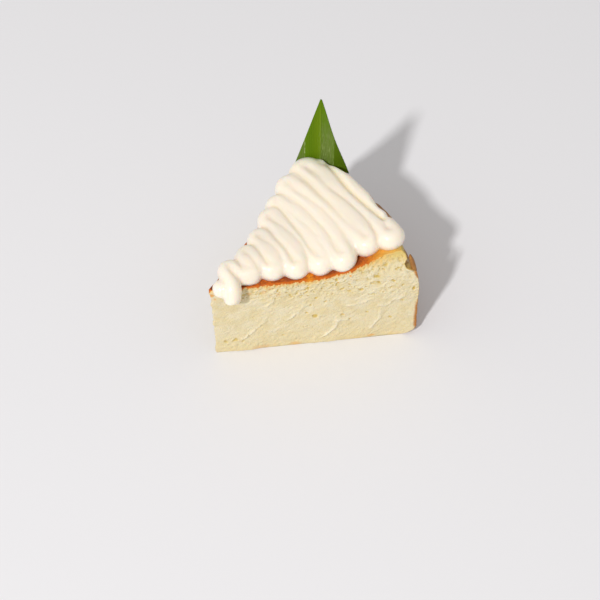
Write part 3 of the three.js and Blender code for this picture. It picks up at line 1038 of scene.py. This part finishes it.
def make_cream():
    """The piped zigzag: its solids melted into one soft skin, with the grooves pressed in."""
    skin = settled(new_mesh("cream_solids", *cream_solids()), CREAM_VOXEL, CREAM_SOFTENING)
    press(skin)
    mesh = settled(skin, 0, CREAM_LAST_SOFTENING)
    mesh.name = "cream_piping"
    return link("cream_piping", mesh)


def leaf_pleat(sideways):
    """How far the folded blade stands out of its plane, by the distance from its middle: a cosine."""
    return LEAF_PLEAT * (np.cos(np.pi * sideways / LEAF_FOLD) - 1)


def make_leaf():
    """A narrow triangle, folded lengthways into ridges and valleys, with fine ribs along both faces."""
    across_steps, up_steps = LEAF_STEPS
    around = np.concatenate([np.linspace(-1, 1, across_steps), np.linspace(1, -1, across_steps)])
    face = np.concatenate([-np.ones(across_steps), np.ones(across_steps)])
    up = np.linspace(0, 1, up_steps)[:, None]
    across = around[None, :] + 0 * up
    height = lerp(LEAF_FOOT_HEIGHT - LEAF_FOOT_ARCH * across ** 2, LEAF_TIP_HEIGHT, up)
    opening = np.where(across < 0, math.tan(LEAF_HALF_APEX[0]), math.tan(LEAF_HALF_APEX[1]))
    half_width = LEAF_TIP_HALF_WIDTH + (LEAF_TIP_HEIGHT - height) * opening
    sideways = across * half_width
    ribs = LEAF_VEIN_RELIEF * np.cos(2 * np.pi * sideways / LEAF_VEIN_SPACING)
    ribs = ribs * smooth(half_width, *LEAF_VEIN_WIDTHS)
    back = leaf_pleat(sideways) + LEAF_THICKNESS * (1 + face[None, :]) / 2 + ribs
    x = LEAF_FOOT[0] + sideways * math.cos(LEAF_DIRECTION) + back * math.sin(LEAF_DIRECTION)
    y = LEAF_FOOT[1] + sideways * math.sin(LEAF_DIRECTION) - back * math.cos(LEAF_DIRECTION)
    points = np.stack([x, y, height], -1).reshape(-1, 3)
    mesh = new_mesh("leaf_blade", points, tube_faces(up_steps, 2 * across_steps))
    keep_values(mesh, "sideways", sideways.ravel())
    return link("leaf_blade", mesh)


def add(tree, kind, inputs=(), **settings):
    """A new node with its settings and inputs; an input given as a socket is linked."""
    made = tree.nodes.new("ShaderNode" + kind)
    for key, value in settings.items():
        setattr(made, key, value)
    for key, value in dict(inputs).items():
        if isinstance(value, bpy.types.NodeSocket):
            tree.links.new(value, made.inputs[key])
        else:
            made.inputs[key].default_value = value
    return made


def sums(tree, operation, *values):
    """One step of arithmetic on one, two or three values."""
    return add(tree, "Math", enumerate(values), operation=operation).outputs[0]


def times(tree, first, *others):
    """The product of all the values."""
    for other in others:
        first = sums(tree, "MULTIPLY", first, other)
    return first


def step(tree, value, low, high):
    """A soft mask: 0 at low, 1 at high. Low may be the larger."""
    made = add(tree, "MapRange", {0: value, 1: low, 2: high}, interpolation_type="SMOOTHSTEP")
    return made.outputs[0]


def line_mask(tree, value, place, width):
    """A soft line where a value meets a place: full within the smaller width, gone past the larger."""
    away = sums(tree, "ABSOLUTE", sums(tree, "SUBTRACT", value, place))
    return step(tree, away, *width)


def blend(tree, mask, first, second):
    """The first colour where the mask is 0, the second where it is 1."""
    linked = bpy.types.NodeSocket
    colours = [value if isinstance(value, linked) else (*value, 1) for value in (first, second)]
    return add(tree, "Mix", {0: mask, 6: colours[0], 7: colours[1]}, data_type="RGBA").outputs[2]


def noise(tree, place, scale, detail):
    """Soft noise, 0 to 1, with a number of waves for each unit of the place."""
    return add(tree, "TexNoise", {"Vector": place, "Scale": scale, "Detail": detail}).outputs[0]


def attribute(tree, name):
    """A value kept at the mesh's points."""
    return add(tree, "Attribute", attribute_name=name).outputs["Fac"]


def patch_group():
    """The group that makes random patches: soft noise, then a soft step from low to high."""
    group = bpy.data.node_groups.new("patches", "ShaderNodeTree")
    group.interface.new_socket("Place", in_out="INPUT", socket_type="NodeSocketVector")
    for name in PATCH_INPUTS:
        group.interface.new_socket(name, in_out="INPUT", socket_type="NodeSocketFloat")
    group.interface.new_socket("Mask", in_out="OUTPUT", socket_type="NodeSocketFloat")
    given = group.nodes.new("NodeGroupInput").outputs
    cloud = noise(group, given["Place"], given["Scale"], given["Detail"])
    mask = step(group, cloud, given["Low"], given["High"])
    group.links.new(mask, group.nodes.new("NodeGroupOutput").inputs["Mask"])
    return group


def patches(tree, place, values):
    """A mask of random patches from the one group, by scale, detail, low and high."""
    group = bpy.data.node_groups.get("patches") or patch_group()
    inputs = {"Place": place, **dict(zip(PATCH_INPUTS, values))}
    return add(tree, "Group", inputs, node_tree=group).outputs["Mask"]


def material(name, surface):
    """A new material with one principled shader. Returns it, its node tree and the shader."""
    made = bpy.data.materials.new(name)
    made.use_nodes = True
    shader = made.node_tree.nodes["Principled BSDF"]
    for key, value in surface.items():
        shader.inputs[key].default_value = value
    return made, made.node_tree, shader


def crumb_colour(tree, place, torn):
    """Pale crumb in patches, deeper to the foot, painted olive-yellow shade in the hollows and a painted
    highlight on the lips, with a gold base, yellow where it is torn, and orange specks."""
    height = add(tree, "SeparateXYZ", {0: place}).outputs[2]
    deep = attribute(tree, "deep")
    colour = blend(tree, patches(tree, place, CRUMB_PATCHES), CRUMB_PALE, CRUMB_DEEP)
    colour = blend(tree, times(tree, step(tree, height, *LOW_CRUMB), LOW_CRUMB_SHARE), colour, CRUMB_DEEP)
    # Painted shade in the hollows, then a painted highlight on the lips
    colour = blend(tree, step(tree, deep, *PIT_SHADE_FADE), colour, PIT_SHADE_COLOUR)
    colour = blend(tree, step(tree, deep, *LIP_HIGHLIGHT_FADE), colour, LIP_HIGHLIGHT)
    base = times(tree, step(tree, height, *BASE_FADE), patches(tree, place, BASE_PATCHES), BASE_SHARE)
    colour = blend(tree, base, colour, GOLD)
    colour = blend(tree, torn, colour, TORN_YELLOW)
    return blend(tree, attribute(tree, "speck"), colour, SPECK_ORANGE)


def cut_colour(tree, place, torn, bake, wander, browned):
    """A cut face: crumb that turns gold and then browned under the top, less where it is torn, along a
    wandering line, and a patchy brown line at the wall."""
    skin = sums(tree, "MULTIPLY_ADD", wander, SKIN_WANDER, attribute(tree, "skin"))
    skin = sums(tree, "MULTIPLY_ADD", times(tree, torn, torn), SKIN_TORN, skin)
    narrow = sums(tree, "MULTIPLY_ADD", bake, SKIN_GOLD_NARROW, 1 - SKIN_GOLD_NARROW)
    gold = times(tree, step(tree, times(tree, skin, narrow), *SKIN_GOLD), SKIN_GOLD_SHARE)
    colour = blend(tree, gold, crumb_colour(tree, place, torn), GOLD)
    colour = blend(tree, step(tree, skin, *SKIN_BROWNED), colour, browned)
    line = times(tree, attribute(tree, "edge"), patches(tree, place, LINE_PATCHES))
    return blend(tree, line, colour, LINE_BROWN)


def top_colour(tree, place, torn, bake, wander, browned):
    """The baked top: browned at its edge, darker in dotted patches inland, yellow where it is torn."""
    patchy = sums(tree, "MULTIPLY_ADD", wander, TOP_WANDER, bake)
    dots = sums(tree, "SUBTRACT", noise(tree, place, *DOT_NOISE), NOISE_MIDDLE)
    dark = step(tree, sums(tree, "ADD", dots, patchy), *TOP_BROWN)
    inner = blend(tree, dark, browned, BROWN)
    colour = blend(tree, step(tree, attribute(tree, "inland"), *TOP_EDGE_FADE), browned, inner)
    return blend(tree, times(tree, torn, TOP_TORN_SHARE), colour, TORN_YELLOW)


def cake_material():
    """Pale crumb on the cuts, a browned top, a brown wall and painted olive shade in the recess where the
    corner is bitten off, all with a fine grain."""
    made, tree, shader = material("cake", CAKE_SURFACE)
    place = add(tree, "TexCoord").outputs["Object"]
    torn = attribute(tree, "torn")
    bake = attribute(tree, "bake")
    drawn = add(tree, "VectorMath", {0: place, 1: WANDER_DRAW}, operation="MULTIPLY").outputs[0]
    wander = sums(tree, "SUBTRACT", noise(tree, drawn, *WANDER_NOISE), NOISE_MIDDLE)
    browned = blend(tree, step(tree, bake, *BAKE_ORANGE), YELLOW_ORANGE, ORANGE)
    cut = cut_colour(tree, place, torn, bake, wander, browned)
    top = top_colour(tree, place, torn, bake, wander, browned)
    wall = blend(tree, patches(tree, place, WALL_PATCHES), WALL_GOLD, WALL_BROWN)
    colour = blend(tree, attribute(tree, "wall"), cut, wall)
    colour = blend(tree, attribute(tree, "top"), colour, top)
    # Painted olive shade in the bitten recess
    colour = blend(tree, attribute(tree, "bitten"), colour, OLIVE_SHADE)
    tree.links.new(colour, shader.inputs["Base Color"])
    grain = noise(tree, place, *GRAIN_NOISE)
    bump = add(tree, "Bump", {"Height": grain, "Strength": GRAIN_STRENGTH, "Distance": GRAIN_DEPTH})
    tree.links.new(bump.outputs[0], shader.inputs["Normal"])
    return made


def cream_material():
    """Warm ivory with a soft gloss, and painted shade in the grooves: a little darker and yellower."""
    made, tree, shader = material("cream", CREAM_SURFACE)
    colour = blend(tree, step(tree, attribute(tree, "hollow"), 0.0, 1.0), CREAM, CREAM_GROOVE_SHADE)
    tree.links.new(colour, shader.inputs["Base Color"])
    return made


def leaf_bands(tree, sideways, height, stretched):
    """Green in bands that run up the blade beside its folds: painted light through the blade, yellower,
    left of the middle, a painted grey sheen to the foot at the right and past the left fold, and
    painted shade past the right fold."""
    # Painted sheen towards the foot, and painted light through the blade left of the middle
    sheen = times(tree, step(tree, height, *LEAF_SHEEN_HEIGHTS), patches(tree, stretched, LEAF_SHEEN_PATCHES))
    yellow = times(tree, step(tree, sideways, *LEAF_BACKLIT_BAND), step(tree, height, *LEAF_BACKLIT_HEIGHTS))
    left = blend(tree, yellow, LEAF_GREEN, LEAF_BACKLIT)
    right = blend(tree, sheen, LEAF_GREEN, LEAF_SHEEN)
    colour = blend(tree, step(tree, sideways, *LEAF_HALVES), left, right)
    # Painted sheen past the left fold, and painted shade past the right fold
    colour = blend(tree, times(tree, sheen, step(tree, sideways, *LEAF_SHEEN_BAND)), colour, LEAF_SHEEN)
    return blend(tree, step(tree, sideways, *LEAF_SHADE_BAND), colour, LEAF_SHADE)


def leaf_material():
    """Green bands with a pale middle rib, painted highlight dots along the left fold, pale streaks at the
    right and painted shade in the crease beside the rib."""
    made, tree, shader = material("leaf", LEAF_SURFACE)
    sideways = attribute(tree, "sideways")
    height = add(tree, "SeparateXYZ", {0: add(tree, "TexCoord").outputs["Object"]}).outputs[2]
    stretched = add(tree, "CombineXYZ", {0: sideways, 1: times(tree, height, LEAF_STRETCH)}).outputs[0]
    colour = leaf_bands(tree, sideways, height, stretched)
    rib = line_mask(tree, sideways, LEAF_RIB_PLACE, LEAF_RIB_WIDTH)
    rib = times(tree, rib, step(tree, height, *LEAF_RIB_HEIGHTS), LEAF_RIB_SHARE)
    colour = blend(tree, rib, colour, LEAF_RIB)
    # Painted highlight dots along the left fold
    line = line_mask(tree, sideways, LEAF_FOLD, LEAF_GLINT_WIDTH)
    colour = blend(tree, times(tree, line, patches(tree, stretched, LEAF_GLINT_PATCHES)), colour, LEAF_GLINT)
    streaks = times(
        tree,
        patches(tree, stretched, LEAF_STREAK_PATCHES),
        step(tree, height, *LEAF_STREAK_HEIGHTS),
        step(tree, sideways, *LEAF_SHADE_BAND[::-1]),
        step(tree, sideways, *LEAF_STREAK_BAND),
    )
    colour = blend(tree, streaks, colour, LEAF_VEIN)
    # Painted shade in the crease beside the rib
    crease = times(tree, step(tree, sideways, *LEAF_CREASE_RIGHT), step(tree, sideways, *LEAF_CREASE_LEFT))
    colour = blend(tree, times(tree, crease, LEAF_CREASE_SHADE), colour, LEAF_SHADE)
    tree.links.new(colour, shader.inputs["Base Color"])
    return made


def finish_piece(piece, node, made):
    """A visible piece takes the place of its CAD node, moves with the root and takes its material."""
    piece.data.materials.clear()
    piece.data.materials.append(made)
    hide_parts(node)
    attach(piece, "root")


def make_floor():
    """A plain pale floor."""
    half = FLOOR_SIZE / 2
    corners = [(-half, -half, 0), (half, -half, 0), (half, half, 0), (-half, half, 0)]
    mesh = bpy.data.meshes.new("floor")
    mesh.from_pydata(corners, [], [(0, 1, 2, 3)])
    made, _, _ = material("floor", FLOOR_SURFACE)
    mesh.materials.append(made)
    floor = link("floor", mesh)


def make_camera():
    """The photograph's camera."""
    lens = bpy.data.cameras.new("camera")
    lens.lens = LENS
    lens.sensor_width = SENSOR
    camera = link("camera", lens)
    level = math.cos(CAMERA_ELEVATION)
    way = np.array([
        -math.sin(CAMERA_AZIMUTH) * level,
        math.cos(CAMERA_AZIMUTH) * level,
        -math.sin(CAMERA_ELEVATION),
    ])
    camera.location = np.array(CAMERA_TARGET) - way * CAMERA_DISTANCE
    camera.rotation_euler = (math.pi / 2 - CAMERA_ELEVATION, 0, CAMERA_AZIMUTH)
    bpy.context.scene.camera = camera


def make_light():
    """A key from the left and front, a wide light from above, and an even pale fill from all around."""
    lamp = bpy.data.lights.new("key", "POINT")
    lamp.energy = KEY_STRENGTH * 4 * math.pi * KEY_DISTANCE ** 2
    lamp.shadow_soft_size = KEY_RADIUS
    key = link("key", lamp)
    level = KEY_DISTANCE * math.cos(KEY_ELEVATION)
    key.location = (
        level * math.cos(KEY_DIRECTION),
        level * math.sin(KEY_DIRECTION),
        KEY_DISTANCE * math.sin(KEY_ELEVATION),
    )
    lamp = bpy.data.lights.new("overhead", "SUN")
    lamp.energy = OVERHEAD_STRENGTH
    lamp.angle = OVERHEAD_ANGLE
    link("overhead", lamp)
    world = bpy.data.worlds.new("fill")
    world.use_nodes = True
    background = world.node_tree.nodes["Background"]
    background.inputs["Color"].default_value = FILL_COLOUR
    background.inputs["Strength"].default_value = FILL_STRENGTH
    bpy.context.scene.world = world
    bpy.context.scene.view_settings.view_transform = "Standard"


finish_piece(make_cake(), "cake", cake_material())
finish_piece(make_cream(), "cream", cream_material())
finish_piece(make_leaf(), "leaf", leaf_material())
make_floor()
make_camera()
make_light()
